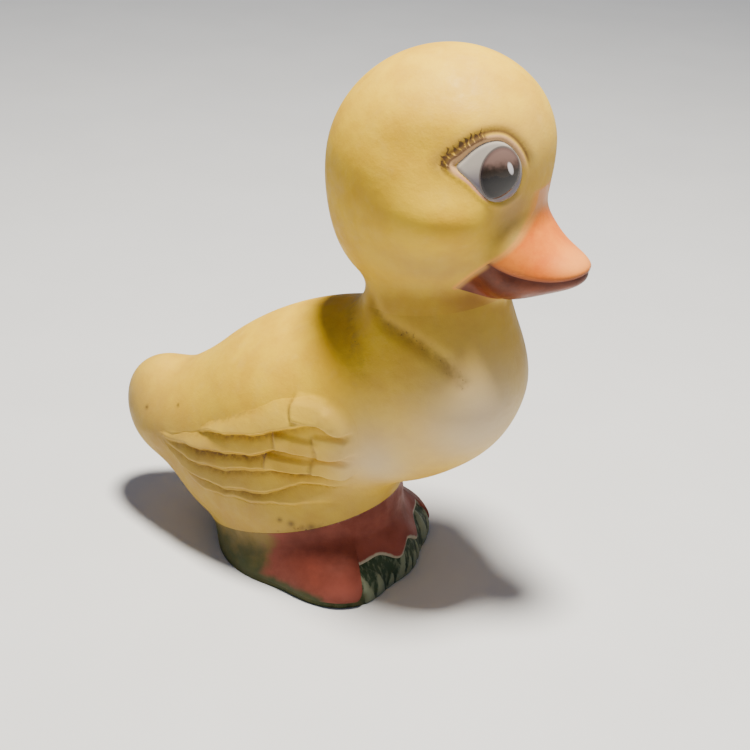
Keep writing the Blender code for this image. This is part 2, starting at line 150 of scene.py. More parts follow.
# ---- mesh tools, in millimetres ----------------------------------------------
def new_object(name, data):
    item = bpy.data.objects.new(name, data)
    bpy.context.scene.collection.objects.link(item)
    return item


def evaluated_copy(item):
    """The item's mesh with its modifiers applied; the item itself is removed."""
    graph = bpy.context.evaluated_depsgraph_get()
    mesh = bpy.data.meshes.new_from_object(item.evaluated_get(graph))
    bpy.data.objects.remove(item)
    return mesh


def mesh_from(bm):
    mesh = bpy.data.meshes.new("shape")
    bm.to_mesh(mesh)
    bm.free()
    return mesh


def vertex_points(mesh):
    points = np.empty(len(mesh.vertices) * 3)
    mesh.vertices.foreach_get("co", points)
    return points.reshape(-1, 3)


def set_points(mesh, points):
    mesh.vertices.foreach_set("co", points.ravel())
    mesh.update()


def remeshed(mesh, grain):
    item = new_object("temporary", mesh)
    remesh = item.modifiers.new("remesh", "REMESH")
    remesh.mode = "VOXEL"
    remesh.voxel_size = grain
    return evaluated_copy(item)


def ellipsoids(masses, level=0.0):
    bm = bmesh.new()
    for centre, radii, pitch in masses:
        size = Matrix.Diagonal([radius + level for radius in radii] + [1.0])
        turn = Matrix.Rotation(math.radians(-pitch), 4, "Y")
        bmesh.ops.create_icosphere(bm, subdivisions=5, radius=1.0,
                                   matrix=Matrix.Translation(centre) @ turn @ size)
    return mesh_from(bm)


def on_surface(points, distance, rounds, level=0.0):
    """Moves points along the slope, onto the surface where the distance equals level."""
    for _ in range(rounds):
        slope = slope_at(distance, points)
        miss = distance(points) - level
        steepness = np.maximum((slope ** 2).sum(-1), 0.2)
        points = points - 0.8 * (miss / steepness)[..., None] * slope
    return points


def melted_mesh(masses, distance, level, grain):
    """A closed mesh of the surface where the distance equals level."""
    mesh = remeshed(ellipsoids(masses, level), grain)
    set_points(mesh, on_surface(vertex_points(mesh), distance, 6, level))
    return mesh


def tilted_normal(tilt):
    angle = math.radians(tilt)
    return Vector((-math.sin(angle), 0.0, math.cos(angle)))


def sliced(mesh, point, normal):
    """A copy without what lies on the side that the normal points to, closed with a flat face."""
    bm = bmesh.new()
    bm.from_mesh(mesh)
    bmesh.ops.bisect_plane(bm, geom=bm.verts[:] + bm.edges[:] + bm.faces[:], dist=1e-5,
                           plane_co=Vector(point), plane_no=Vector(normal), clear_outer=True)
    rim = [edge for edge in bm.edges if edge.is_boundary]
    bmesh.ops.holes_fill(bm, edges=rim, sides=0)
    bmesh.ops.recalc_face_normals(bm, faces=bm.faces[:])
    return mesh_from(bm)


def combined(mesh, other, operation):
    item = new_object("temporary", mesh)
    tool = new_object("tool", other)
    boolean = item.modifiers.new("boolean", "BOOLEAN")
    boolean.operation = operation
    boolean.solver = "EXACT"
    boolean.object = tool
    result = evaluated_copy(item)
    bpy.data.objects.remove(tool)
    return result


def turned_mesh(profile, middle_x, segments=96):
    """A solid of revolution from (radius, height) points, closed by a flat disc at both ends."""
    bm = bmesh.new()
    rings = []
    for radius, height in profile:
        ring = []
        for index in range(segments):
            angle = 2.0 * math.pi * index / segments
            ring.append(bm.verts.new((middle_x + radius * math.cos(angle),
                                      radius * math.sin(angle), height)))
        rings.append(ring)
    for lower, upper in zip(rings, rings[1:]):
        for index in range(segments):
            following = (index + 1) % segments
            bm.faces.new([lower[index], lower[following], upper[following], upper[index]])
    bm.faces.new(rings[0])
    bm.faces.new(rings[-1])
    bmesh.ops.recalc_face_normals(bm, faces=bm.faces[:])
    return mesh_from(bm)


# ---- sculpting: soft swellings and hollows, the same on both sides -----------
# centre (its Y counts on both sides), reach along X, Y and Z, height of the swelling
SWELLINGS = [
    ((46.0, 0.0, 106.0), (8.0, 14.0, 8.0), -0.8),        # flat forehead above the bill
    ((29.5, 21.0, 99.5), (9.5, 7.5, 5.6), 2.7),          # cheek
    ((23.0, 21.0, 113.0), (11.0, 8.0, 5.0), -0.8),       # temple
    ((39.0, 15.0, 108.5), (6.5, 6.5, 7.5), -0.9),        # eye socket
    ((41.5, 13.0, 98.5), (4.5, 4.5, 5.5), -1.8),         # hollow between the eye and the bill
    ((34.0, 16.0, 120.0), (9.0, 7.0, 4.0), 0.5),         # brow
    ((28.0, 19.0, 89.5), (10.0, 7.0, 4.5), -1.0),        # under the cheek
    ((36.0, 14.0, 52.0), (9.0, 8.0, 8.0), 0.6),          # breast
    ((17.0, 19.0, 44.0), (7.0, 6.0, 9.0), 0.7),          # shoulder of the wing
]
# the crease beside the neck, where the soft skin folds
NECK_CREASE = [np.array(point) for point in (
    (11.5, -11.5, 75.0), (15.2, -14.8, 72.2), (19.5, -16.0, 71.3), (24.0, -16.7, 70.3),
    (28.0, -16.7, 68.5), (32.1, -16.0, 65.9), (35.5, -15.2, 62.2))]
FOLD_DEPTH, FOLD_WIDTH = 0.7, 1.7
# small moulding pits on the tail, and dark ones where the body meets the foot: centre and reach
PITS = [
    ((-47.5, -11.6, 32.2), 0.55), ((-46.3, -11.8, 34.6), 0.45), ((-36.8, -14.3, 36.9), 0.45),
    ((-5.0, -21.2, 18.2), 0.6), ((-2.2, -20.8, 17.6), 0.9), ((0.4, -20.2, 17.0), 0.7),
    ((2.4, -19.4, 17.2), 1.0), ((4.2, -18.6, 17.4), 0.6), ((6.4, -17.4, 19.0), 0.45),
]


def bell(value, width):
    """1 where a value is zero, falling off softly to both sides."""
    return np.exp(-(value / width) ** 2)


def blob(points, centre, reach):
    """1 at the centre, falling off softly over the reach along each axis."""
    return np.exp(-(((points - centre) / reach) ** 2).sum(-1))


def mirrored(points):
    """The same points with every one moved to the right side, where Y is negative."""
    result = points.copy()
    result[..., 1] = -np.abs(result[..., 1])
    return result


def swelling(points):
    total = 0.0
    right = mirrored(points)
    for (x, y, z), reach, height in SWELLINGS:
        total = total + height * blob(right, (x, -y, z), reach)
    return total


def crease_reach(points):
    """Distance from the crease beside the neck."""
    right = mirrored(points)
    nearest = np.full(right.shape[:-1], 99.0)
    for start, end in zip(NECK_CREASE, NECK_CREASE[1:]):
        run = end - start
        share = np.clip(((right - start) @ run) / (run @ run), 0.0, 1.0)
        nearest = np.minimum(nearest, np.linalg.norm(right - start - share[..., None] * run, axis=-1))
    return nearest


def skin_distance(points):
    fold = FOLD_DEPTH * bell(crease_reach(points), FOLD_WIDTH)
    return figure_distance(points) - swelling(points) + fold


def ground_distance(points):
    """The figure with its toes."""
    return group_distance(points, TOES, start=skin_distance(points))


def whole_distance(points):
    return melt(ground_distance(points), bill_distance(points), BILL_BLEND)


# ---- curves ------------------------------------------------------------------
def smooth_curve(points, closed=False, steps=12):
    """Points along a Catmull-Rom curve through the given ones."""
    points = np.array(points, float)
    count = len(points)
    result = []
    for index in range(count if closed else count - 1):
        if closed:
            before, start, end, after = (points[(index + step) % count] for step in (-1, 0, 1, 2))
        else:
            before, start = points[max(index - 1, 0)], points[index]
            end, after = points[index + 1], points[min(index + 2, count - 1)]
        for part in np.arange(steps) / steps:
            result.append(0.5 * (2 * start + (end - before) * part
                                 + (2 * before - 5 * start + 4 * end - after) * part ** 2
                                 + (3 * start - before - 3 * end + after) * part ** 3))
    if not closed:
        result.append(points[-1])
    return np.array(result)


def outline_distance(points, outline):
    """Signed distance of 2-D points to a closed outline, positive outside."""
    nearest = np.full(len(points), 1e9)
    inside = np.zeros(len(points), bool)
    for start, end in zip(outline, np.roll(outline, -1, axis=0)):
        edge = end - start
        offset = points - start
        share = np.clip(offset @ edge / max(edge @ edge, 1e-12), 0.0, 1.0)
        gap = offset - share[:, None] * edge
        nearest = np.minimum(nearest, (gap ** 2).sum(-1))
        if start[1] != end[1]:
            crosses = (start[1] > points[:, 1]) != (end[1] > points[:, 1])
            reach = start[0] + (points[:, 1] - start[1]) * edge[0] / edge[1]
            inside ^= crosses & (points[:, 0] < reach)
    return np.sqrt(nearest) * np.where(inside, -1.0, 1.0)


def ease(value, low, high):
    """0 below low and 1 above high, with a smooth step between."""
    share = np.clip((value - low) / (high - low), 0.0, 1.0)
    return share * share * (3.0 - 2.0 * share)


# ---- the eye, in its own plane: u runs forwards and v up ---------------------
EYE_CENTRE = np.array((39.5, -14.5, 110.0))
EYE_FORWARD = np.array((0.676, 0.737, 0.0))
EYE_OUT = np.array((0.734, -0.674, 0.083))
EYE_UP = np.cross(EYE_OUT, EYE_FORWARD)
EYE_OUTLINE = smooth_curve([(-9.7, 1.6), (-7.6, 3.9), (-5.2, 5.7), (-2.4, 6.8), (0.6, 6.7), (3.2, 4.9),
                            (5.3, 1.8), (6.0, -1.8), (5.0, -5.2), (2.2, -7.0), (-1.0, -6.2), (-3.6, -4.3),
                            (-6.2, -1.7)], closed=True, steps=8)
IRIS_CENTRE = np.array((0.25, -0.15))
IRIS_RADII = (4.35, 5.35)
IRIS_LEAN = 5.0                    # degrees
LID_REACH = 18.0                   # lids and lashes lie within this distance of the eye's middle
FAR = 9.0                          # the gap stored where nothing is near


def eye_plane(points):
    offset = mirrored(points) - EYE_CENTRE
    return np.stack([offset @ EYE_FORWARD, offset @ EYE_UP], -1)


def lid_masks(points):
    """Distance outside the eye's outline, and the angle round the iris, for points near an eye."""
    offset = mirrored(points) - EYE_CENTRE
    near = (offset ** 2).sum(-1) < LID_REACH ** 2
    gap = np.full(len(points), FAR)
    turn = np.zeros(len(points))
    plane = eye_plane(points[near])
    gap[near] = outline_distance(plane, EYE_OUTLINE)
    turn[near] = np.arctan2(plane[:, 1] - IRIS_CENTRE[1], plane[:, 0] - IRIS_CENTRE[0])
    # angles grow from 0 at the front over the top and the rear, with the cut below the front corner
    return gap, np.where(turn < -0.6, turn + 2.0 * math.pi, turn)


def lid_parts(turn):
    """Where the upper lid, its lashes and the lower lid run, by the angle round the iris."""
    upper = ease(turn, -0.1, 0.5) * (1.0 - ease(turn, 2.9, 3.3))
    fan = ease(turn, 1.9, 2.04) * (1.0 - ease(turn, 2.98, 3.08))
    lower = ease(turn, 2.9, 3.2) * (1.0 - ease(turn, 4.1, 4.5))
    return upper, fan, lower


def lid_relief(points):
    """Raised rims and the crease of the upper lid, in millimetres along the normal."""
    gap, turn = lid_masks(points)
    upper = lid_parts(turn)[0]
    rim = 0.18 * bell(gap - 0.45, 0.5)
    crease = -0.16 * upper * bell(gap - 1.55, 0.45)
    fold = 0.10 * upper * bell(gap - 2.6, 0.8)
    socket = -0.45 * (1.0 - ease(gap, -0.8, 0.0))
    return rim + crease + fold + socket


# ---- solid patches that lie on the skin --------------------------------------
def unit_slope(points, distance):
    slope = slope_at(distance, points)
    return slope / np.linalg.norm(slope, axis=-1)[..., None]


SIDES = (("right", np.array((1.0, 1.0, 1.0))), ("left", np.array((1.0, -1.0, 1.0))))


def sheet_solid(top, bottom, wrap=False):
    """A closed solid between two grids of points.  A wrapped grid starts from one middle point."""
    rows, columns = top.shape[:2]
    bm = bmesh.new()
    layers = []
    for grid in (top, bottom):
        layer = []
        for row in range(rows):
            if wrap and row == 0:
                layer.append([bm.verts.new(grid[0, 0])] * columns)
            else:
                layer.append([bm.verts.new(point) for point in grid[row]])
        layers.append(layer)
    upper, lower = layers
    spans = columns if wrap else columns - 1
    for row in range(rows - 1):
        for column in range(spans):
            following = (column + 1) % columns
            for layer in layers:
                corners = [layer[row][column], layer[row][following],
                           layer[row + 1][following], layer[row + 1][column]]
                bm.faces.new(list(dict.fromkeys(corners)))
    rim = [(rows - 1, column) for column in range(columns)]
    if wrap:
        rim.append(rim[0])
    else:
        rim = ([(0, column) for column in range(columns)]
               + [(row, columns - 1) for row in range(1, rows)]
               + [(rows - 1, column) for column in range(columns - 2, -1, -1)]
               + [(row, 0) for row in range(rows - 2, -1, -1)])
    for (row, column), (next_row, next_column) in zip(rim, rim[1:]):
        bm.faces.new([upper[row][column], upper[next_row][next_column],
                      lower[next_row][next_column], lower[row][column]])
    bmesh.ops.recalc_face_normals(bm, faces=bm.faces[:])
    return mesh_from(bm)


def polar_grid(outline, centre, rings, power=1.0):
    """Grid rows from a middle point out to a closed outline."""
    share = (np.arange(rings + 1) / rings) ** power
    return centre + share[:, None, None] * (outline - centre)[None]


def resampled(outline, count):
    """A closed outline with evenly spaced points."""
    closed = np.vstack([outline, outline[:1]])
    run = np.concatenate([[0.0], np.cumsum(np.linalg.norm(np.diff(closed, axis=0), axis=1))])
    places = np.linspace(0.0, run[-1], count, endpoint=False)
    return np.stack([np.interp(places, run, closed[:, axis]) for axis in (0, 1)], -1)


def store_masks(mesh, **masks):
    """Stores one value per vertex under each name, for the paints to read."""
    for name, values in masks.items():
        mask = mesh.attributes.new(name, "FLOAT", "POINT")
        mask.data.foreach_set("value", np.ascontiguousarray(values, dtype=np.float32))


def store_layers(mesh, wrap=False, **masks):
    """Stores masks that are given on a patch's grid, on its top and on its bottom."""
    for name, grid in masks.items():
        # a wrapped patch has one vertex for its whole first row
        values = np.append(grid[0, :1], grid[1:]) if wrap else grid.ravel()
        store_masks(mesh, **{name: np.tile(values, 2)})


# ---- materials ---------------------------------------------------------------
def srgb(code):
    """A linear colour from an sRGB hex code."""
    values = [int(code[start:start + 2], 16) / 255.0 for start in (0, 2, 4)]
    return tuple(value / 12.92 if value <= 0.04045 else ((value + 0.055) / 1.055) ** 2.4
                 for value in values)


class Paint:
    """A node material under construction.  Its coat is the colour laid so far."""

    def __init__(self, name, roughness=0.45, metallic=0.0):
        self.material = bpy.data.materials.new(name)
        self.material.use_nodes = True
        self.tree = self.material.node_tree
        self.shader = self.tree.nodes["Principled BSDF"]
        self.shader.inputs["Roughness"].default_value = roughness
        self.shader.inputs["Metallic"].default_value = metallic
        self.place = self.node("TexCoord").outputs["Object"]
        self.coat = None

    def node(self, kind):
        return self.tree.nodes.new("ShaderNode" + kind)

    def link(self, value, socket):
        """Feeds a socket from another one, or sets it to a number, a linear colour or a hex code."""
        if isinstance(value, bpy.types.NodeSocket):
            self.tree.links.new(value, socket)
            return
        if isinstance(value, str):
            value = srgb(value)
        socket.default_value = (*value, 1.0) if isinstance(value, tuple) else value

    def mask(self, name):
        node = self.node("Attribute")
        node.attribute_name = name
        return node.outputs["Fac"]

    def noise(self, size, detail=3.0, roughness=0.5, stretch=None):
        """Noise about 0.5, with features of a size in millimetres."""
        node = self.node("TexNoise")
        node.inputs["Scale"].default_value = 1.0 / (size * MM)
        node.inputs["Detail"].default_value = detail
        node.inputs["Roughness"].default_value = roughness
        place = self.place
        if stretch:
            mapping = self.node("Mapping")
            mapping.inputs["Scale"].default_value = stretch
            self.tree.links.new(place, mapping.inputs["Vector"])
            place = mapping.outputs["Vector"]
        self.tree.links.new(place, node.inputs["Vector"])
        return node.outputs["Fac"]

    def math(self, operation, *values, clamp=False):
        node = self.node("Math")
        node.operation = operation
        node.use_clamp = clamp
        for value, socket in zip(values, node.inputs):
            self.link(value, socket)
        return node.outputs["Value"]

    def plus(self, first, second):
        return self.math("ADD", first, second)

    def times(self, first, second):
        return self.math("MULTIPLY", first, second)

    def step(self, value, low, high, start=0.0, end=1.0):
        """Smooth step from start at low to end at high."""
        node = self.node("MapRange")
        node.interpolation_type = "SMOOTHSTEP"
        self.link(value, node.inputs["Value"])
        if low > high:
            low, high, start, end = high, low, end, start
        for name, limit in (("From Min", low), ("From Max", high), ("To Min", start), ("To Max", end)):
            node.inputs[name].default_value = limit
        return node.outputs["Result"]

    def patches(self, size, detail, roughness, start=0.0, end=1.0):
        """Soft patches of noise, between a start and an end value."""
        return self.step(self.noise(size, detail, roughness), 0.3, 0.7, start, end)

    def band(self, value, low, high, soft):
        """1 where the value is between low and high."""
        return self.times(self.step(value, low - soft, low + soft),
                          self.step(value, high + soft, high - soft))

    def height(self):
        """Height above the ground in millimetres."""
        node = self.node("SeparateXYZ")
        self.tree.links.new(self.place, node.inputs["Vector"])
        return self.math("DIVIDE", node.outputs["Z"], MM)

    def mix(self, share, first, second):
        node = self.node("Mix")
        node.data_type = "RGBA"
        self.link(share, node.inputs[0])
        self.link(first, node.inputs[6])
        self.link(second, node.inputs[7])
        return node.outputs[2]

    def over(self, share, colour):
        """Lays a colour over the coat where the share is high."""
        self.coat = self.mix(share, self.coat, colour)

    def finish(self, roughness=None, relief=None, depth=0.1):
        """Connects the coat, and the bump from a relief whose full depth is in millimetres."""
        self.link(self.coat, self.shader.inputs["Base Color"])
        if roughness is not None:
            self.link(roughness, self.shader.inputs["Roughness"])
        if relief is not None:
            bump = self.node("Bump")
            bump.inputs["Strength"].default_value = 1.0
            bump.inputs["Distance"].default_value = depth * MM
            self.link(relief, bump.inputs["Height"])
            self.tree.links.new(bump.outputs["Normal"], self.shader.inputs["Normal"])
        return self.material


YELLOW, DEEP_YELLOW, CREAM = "E4B812", "D4A410", "DFC078"
BREAST_CREAM_AND_SHADE, LOW_PAINTED_SHADE = "CBB595", "75624E"
PAINTED_SHADE_MAUVE, THROAT, BROWN, DARK_BROWN = "8E766C", "8E5338", "5E4128", "452E1E"
LID_CREAM, LID_HAZE, LID_LINE, LID_PINK = "D2A470", "86653F", "5E4226", "C08A6A"
ORANGE, DEEP_ORANGE, PALE_ORANGE, WORN_ORANGE = "EA8022", "DA6A18", "F09A48", "D9A050"
LOWER_BILL_RED_AND_SHADE, DARK_LOWER_BILL_RED_AND_SHADE, MOUTH = "7C3A1E", "5E2A18", "5E2A1E"
EYE_WHITE, EYE_PAINTED_SHADE, EYE_RIM, EYE_VEIN, EYE_RING = "B4AA9E", "665E6C", "A79A86", "9A968C", "6C625C"
IRIS_TOP, IRIS_BROWN, PUPIL, IRIS_RIM, GLINT = "80665C", "32281F", "120B0E", "30262A", "E4DCDC"
BRICK, DARK_BRICK, TOE_HIGHLIGHT_PINK, WORN_BRICK = "7E3A2A", "6B3022", "8C4638", "A39B84"
DARK_GRASS, PALE_GRASS = "2A3A22", "7C8166"
OLIVE, DARK_OLIVE, SHADED_DULL_YELLOW = "45431E", "363C1C", "7E6632"


def brushed(paint, depth, low=0.5, high=0.68):
    """Finishes hand-brushed paint on rubber: it shines a little, over brush drag and a fine grain."""
    paint.shader.inputs["Specular IOR Level"].default_value = 0.25
    roughness = paint.patches(3.0, 4.0, 0.6, low, high)
    grain = paint.times(paint.noise(0.45, 3.0, 0.6), 0.35)
    drag = paint.noise(2.2, 4.0, 0.55)
    return paint.finish(roughness, paint.plus(grain, drag), depth)


def lay_yellow(paint):
    """Yellow sprayed over cream: thin and mottled where the cream mask is high."""
    paint.coat = paint.mix(paint.patches(9.0, 5.0, 0.6), YELLOW, DEEP_YELLOW)
    thin = paint.step(paint.noise(4.0, 4.0, 0.6), 0.5, 0.8, 0.0, 0.12)
    paint.over(paint.math("ADD", paint.mask("cream"), thin, clamp=True), CREAM)


def lay_body_coat(paint):
    """The yellow coat, a greyed cream on the breast and in front of the wing (partly the paint's cream,
    partly painted shade), and a brown painted shade low down.
    """
    lay_yellow(paint)
    paint.over(paint.mask("pale"), BREAST_CREAM_AND_SHADE)
    paint.over(paint.mask("low"), LOW_PAINTED_SHADE)


def specks(paint, share, size=0.9, amount=0.62):
    """Small dark spots of old paint in the creases."""
    return paint.times(paint.step(paint.noise(size, 3.0, 0.7), amount, amount + 0.06), share)


def head_paint():
    paint = Paint("yellow_head_paint")
    lay_yellow(paint)
    gap, turn, upper = (paint.mask(name) for name in ("lid", "turn", "upper"))
    # painted shade: a mauve grey in the hollow between the eye and the bill, under the jaw and along the
    # bottom of the head
    paint.over(paint.mask("shade"), PAINTED_SHADE_MAUVE)
    paint.over(paint.mask("throat"), THROAT)
    # the upper lid is cream, with a soft brown line in its crease
    paint.over(paint.times(upper, paint.band(gap, -1.0, 0.8, 0.25)), LID_CREAM)
    haze = paint.times(upper, paint.band(gap, 1.2, 3.4, 1.2))
    paint.over(paint.times(haze, 0.5), LID_HAZE)
    line = paint.times(upper, paint.band(gap, 1.1, 1.8, 0.35))
    paint.over(paint.times(line, 0.85), LID_LINE)
    # lashes fan out from the rear half of the lid line
    swept = paint.plus(turn, paint.times(gap, 0.035))
    uneven = paint.patches(1.3, 2.0, 0.5, -0.035, 0.035)
    wave = paint.math("PINGPONG", paint.times(paint.plus(swept, uneven), 8.6), 0.5)
    taper = paint.plus(paint.step(gap, 0.2, 3.0, 0.52, -0.04), paint.times(uneven, 2.5))
    stroke = paint.step(paint.math("SUBTRACT", taper, wave), -0.09, 0.09)
    fan = paint.times(paint.mask("fan"), paint.band(gap, 0.25, 2.8, 0.2))
    paint.over(paint.times(paint.times(stroke, fan), 0.85), DARK_BROWN)
    # the lower lid is a thin pink line, and the orange of the bill runs over the edge of the face
    paint.over(paint.times(paint.mask("lower"), paint.band(gap, -0.3, 0.35, 0.2)), LID_PINK)
    paint.over(paint.step(paint.mask("edge"), 0.9, 0.0, 0.0, 0.7), PALE_ORANGE)
    return brushed(paint, 0.10)


def body_paint():
    paint = Paint("yellow_body_paint")
    lay_body_coat(paint)
    crease, join = paint.mask("crease"), paint.mask("join")
    paint.over(paint.times(crease, paint.patches(2.0, 4.0, 0.6, 0.1, 0.6)), BROWN)
    paint.over(paint.times(paint.mask("pits"), 0.85), DARK_BROWN)
    paint.over(specks(paint, crease), BROWN)
    paint.over(paint.times(join, 0.35), BROWN)
    paint.over(specks(paint, join, 1.4, 0.60), DARK_BROWN)
    return brushed(paint, 0.12)


def feather_paint():
    paint = Paint("yellow_feather_paint")
    lay_body_coat(paint)
    broken = paint.step(paint.noise(1.2, 4.0, 0.65), 0.35, 0.65, 0.45, 1.0)
    # brown in the furrows between the feather rows: partly a wash, partly painted shade
    paint.over(paint.times(paint.times(paint.mask("wash"), broken), 0.95), BROWN)
    return brushed(paint, 0.12)


def bill_paint(name, lower):
    paint = Paint(name)
    # the lower bill is a darker red-brown than the upper: partly its own paint, partly painted shade on its
    # underside
    colours = (LOWER_BILL_RED_AND_SHADE, DARK_LOWER_BILL_RED_AND_SHADE) if lower else (ORANGE, DEEP_ORANGE)
    paint.coat = paint.mix(paint.patches(5.0, 4.0, 0.6), *colours)
    if not lower:
        paint.over(paint.mask("tip"), PALE_ORANGE)
    paint.over(paint.step(paint.mask("edge"), 1.2, 0.1, 0.0, 0.7), WORN_ORANGE)
    paint.over(paint.times(paint.mask("mouth"), 0.8), MOUTH)
    return brushed(paint, 0.08, 0.32, 0.46)


def eye_white_paint():
    paint = Paint("eye_white_paint", 0.14)
    # painted shade: the white darkens to a grey-blue towards its bottom and is lightest at the top
    paint.coat = paint.mix(paint.step(paint.mask("rise"), -3.0, 2.5), EYE_PAINTED_SHADE, EYE_WHITE)
    paint.over(paint.step(paint.mask("lid"), -0.9, -0.2, 0.0, 0.65), EYE_RIM)
    veins = paint.noise(1.6, 4.0, 0.6)
    paint.over(paint.step(veins, 0.45, 0.75, 0.0, 0.18), EYE_VEIN)
    paint.over(paint.band(paint.mask("ring"), 0.85, 1.07, 0.03), EYE_RING)
    return paint.finish(paint.step(veins, 0.3, 0.7, 0.12, 0.2), paint.noise(1.5), 0.02)


def iris_paint():
    paint = Paint("iris_paint", 0.06)
    wavy = paint.plus(paint.mask("rise"), paint.patches(2.5, 3.0, 0.6, -0.5, 0.5))
    # the iris is near black below and lighter brown above: partly its paint, partly painted light falling
    # from above
    paint.coat = paint.mix(paint.step(wavy, -1.2, -0.2), PUPIL, IRIS_BROWN)
    paint.over(paint.step(wavy, 0.4, 3.0), IRIS_TOP)
    paint.over(paint.step(paint.mask("ring"), 0.86, 1.0, 0.0, 0.6), IRIS_RIM)
    paint.over(paint.step(paint.mask("glint"), 1.15, 0.75), GLINT)
    return paint.finish(paint.patches(2.0, 3.0, 0.5, 0.05, 0.12), paint.noise(1.0), 0.01)


def ground_colour(paint):
    """The back of the base: olive at the ground, fading upwards into a dark dull yellow, which is the
    body's yellow with painted shade.
    """
    olive = paint.mix(paint.step(paint.noise(4.0, 5.0, 0.6), 0.35, 0.65), OLIVE, DARK_OLIVE)
    level = paint.plus(paint.height(), paint.patches(5.0, 3.0, 0.5, -1.5, 1.5))
    # painted shade: above the olive the base is the body's yellow, darkened
    return paint.mix(paint.step(level, 3.0, 13.0), olive, SHADED_DULL_YELLOW)


def web_paint():
    paint = Paint("brick_web_paint")
    paint.coat = paint.mix(paint.patches(6.0, 5.0, 0.6), BRICK, DARK_BRICK)
    # painted highlight: a pinker brick along the tops of the toes at the front
    paint.over(paint.mask("toe"), TOE_HIGHLIGHT_PINK)
    worn = paint.plus(paint.mask("rim"), paint.patches(1.4, 3.0, 0.5, -0.12, 0.12))
    paint.over(paint.step(worn, 0.35, 0.9, 0.0, 0.85), WORN_BRICK)
    soft = paint.plus(paint.mask("hem"), paint.patches(3.0, 3.0, 0.5, -0.12, 0.12))
    paint.over(paint.step(soft, 0.15, 0.95), ground_colour(paint))
    paint.over(paint.times(paint.mask("pits"), 0.8), DARK_BROWN)
    return brushed(paint, 0.10, 0.55, 0.7)


def grass_paint():
    paint = Paint("grass_paint", 0.6)
    streak = paint.noise(1.0, 4.0, 0.6, stretch=(1.0, 1.0, 0.25))
    edge = paint.plus(paint.mask("blade"), paint.step(streak, 0.3, 0.7, -0.3, 0.3))
    blades = paint.mix(paint.step(edge, -0.1, 0.65), DARK_GRASS, PALE_GRASS)
    paint.coat = ground_colour(paint)
    paint.over(paint.mask("front"), blades)
    return brushed(paint, 0.14, 0.6, 0.72)


def plastic_paint(name, colour, fleck):
    paint = Paint(name, 0.4)
    paint.coat = paint.mix(paint.step(paint.noise(1.8, 5.0, 0.6), 0.35, 0.65), colour, fleck)
    marks = paint.noise(0.5, 3.0, 0.6)
    return paint.finish(paint.step(marks, 0.3, 0.7, 0.34, 0.5), marks, 0.03)


def brass_metal():
    paint = Paint("rolled_brass", 0.3, 1.0)
    rolling = paint.noise(0.6, 5.0, 0.7, stretch=(0.08, 1.0, 1.0))
    paint.coat = paint.mix(paint.step(rolling, 0.35, 0.65), "C9A45C", "A9823F")
    return paint.finish(paint.step(rolling, 0.3, 0.7, 0.22, 0.4), rolling, 0.01)


# ---- finished pieces ---------------------------------------------------------
def piece(name, mesh, paint, node, crease=50.0):
    """Scales a mesh to metres and shows it in place of a CAD node."""
    mesh.transform(Matrix.Scale(MM, 4) @ Matrix.Translation((SHIFT_X, 0.0, 0.0)))
    mesh.name = name
    mesh.materials.clear()
    mesh.materials.append(paint)
    mesh.shade_smooth()
    mesh.set_sharp_from_angle(angle=math.radians(crease))
    item = new_object(name, mesh)
    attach(item, "root")
    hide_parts(node)


# ---- the bill's own region: in front of the face edge, above the chin --------
FACE_EDGE = smooth_curve([(30.8, 82.3), (34.5, 86.3), (38.3, 90.0), (41.0, 92.3), (42.8, 94.8),
                          (43.5, 97.6), (44.0, 100.6), (44.4, 104.0)])
BILL_FRONT = 62.0                  # in front of the whole figure
CHIN_END = (BILL_FRONT, 65.8)
MOUTH_LOW_X, MOUTH_LOW_Z, MOUTH_BEND = 50.0, 86.3, 0.025


def mouth_height(x):
    return MOUTH_LOW_Z + MOUTH_BEND * (x - MOUTH_LOW_X) ** 2


def mouth_gap(points):
    """Height above or below the line of the mouth."""
    return np.abs(points[:, 2] - mouth_height(points[:, 0]))


def face_edge_gap(points):
    """Distance from the edge between the face and the bill, seen from the side."""
    return np.sqrt(((points[:, None, ::2] - FACE_EDGE[None]) ** 2).sum(-1)).min(1)


def prism(outline, reach=40.0):
    """An outline in the XZ plane, extruded to both sides."""
    bm = bmesh.new()
    ends = [[bm.verts.new((x, side * reach, z)) for x, z in outline] for side in (-1, 1)]
    for end in ends:
        bm.faces.new(end)
    for index in range(len(outline)):
        following = (index + 1) % len(outline)
        bm.faces.new([ends[0][index], ends[0][following], ends[1][following], ends[1][index]])
    bmesh.ops.recalc_face_normals(bm, faces=bm.faces[:])
    return mesh_from(bm)


def bill_prisms():
    """Cutters for the whole bill, its upper half and its lower half."""
    edge = [tuple(point) for point in FACE_EDGE]
    far = [(BILL_FRONT, edge[-1][1])]
    corner = next(index for index, (x, z) in enumerate(edge) if z > mouth_height(x))
    corner_x = float(np.mean([edge[corner - 1][0], edge[corner][0]]))
    mouth = [(x, mouth_height(x)) for x in np.linspace(corner_x, BILL_FRONT, 40)]
    whole = prism(edge + far + [CHIN_END])
    upper = prism(edge[corner:] + far + mouth[::-1])
    lower = prism(edge[:corner] + mouth + [CHIN_END])
    return whole, upper, lower


